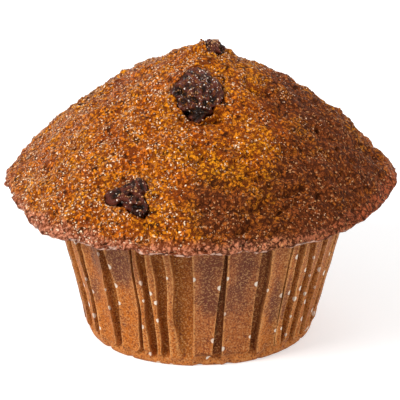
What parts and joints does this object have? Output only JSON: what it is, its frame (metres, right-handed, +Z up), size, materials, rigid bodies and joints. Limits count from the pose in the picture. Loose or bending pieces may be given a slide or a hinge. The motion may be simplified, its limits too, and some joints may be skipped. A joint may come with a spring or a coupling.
{
  "type": "raisin muffin",
  "caption": "Peaked raisin muffin with an overflowing browned crown, sitting in a pleated greaseproof paper case.",
  "frame": {"origin": "middle of the flat round foot of the paper case", "axes": "+Z up; the front of the muffin, with the front raisin, faces -Y; +X to the right seen from the front"},
  "size_m": [0.0888, 0.0874, 0.0685],
  "materials": {
    "crust": "moist browned cake crust, grainy and pitted, with a soft broken gloss",
    "case_paper": "brown greaseproof paper, stained by fat, with small pale dots",
    "raisin": "dark wrinkled dried fruit with small glints"
  },
  "bodies": {
    "root": {"cake": "crust", "paper_case": "case_paper", "raisin_peak": "raisin", "raisin_crown": "raisin", "raisin_front": "raisin"}
  },
  "joints": []
}
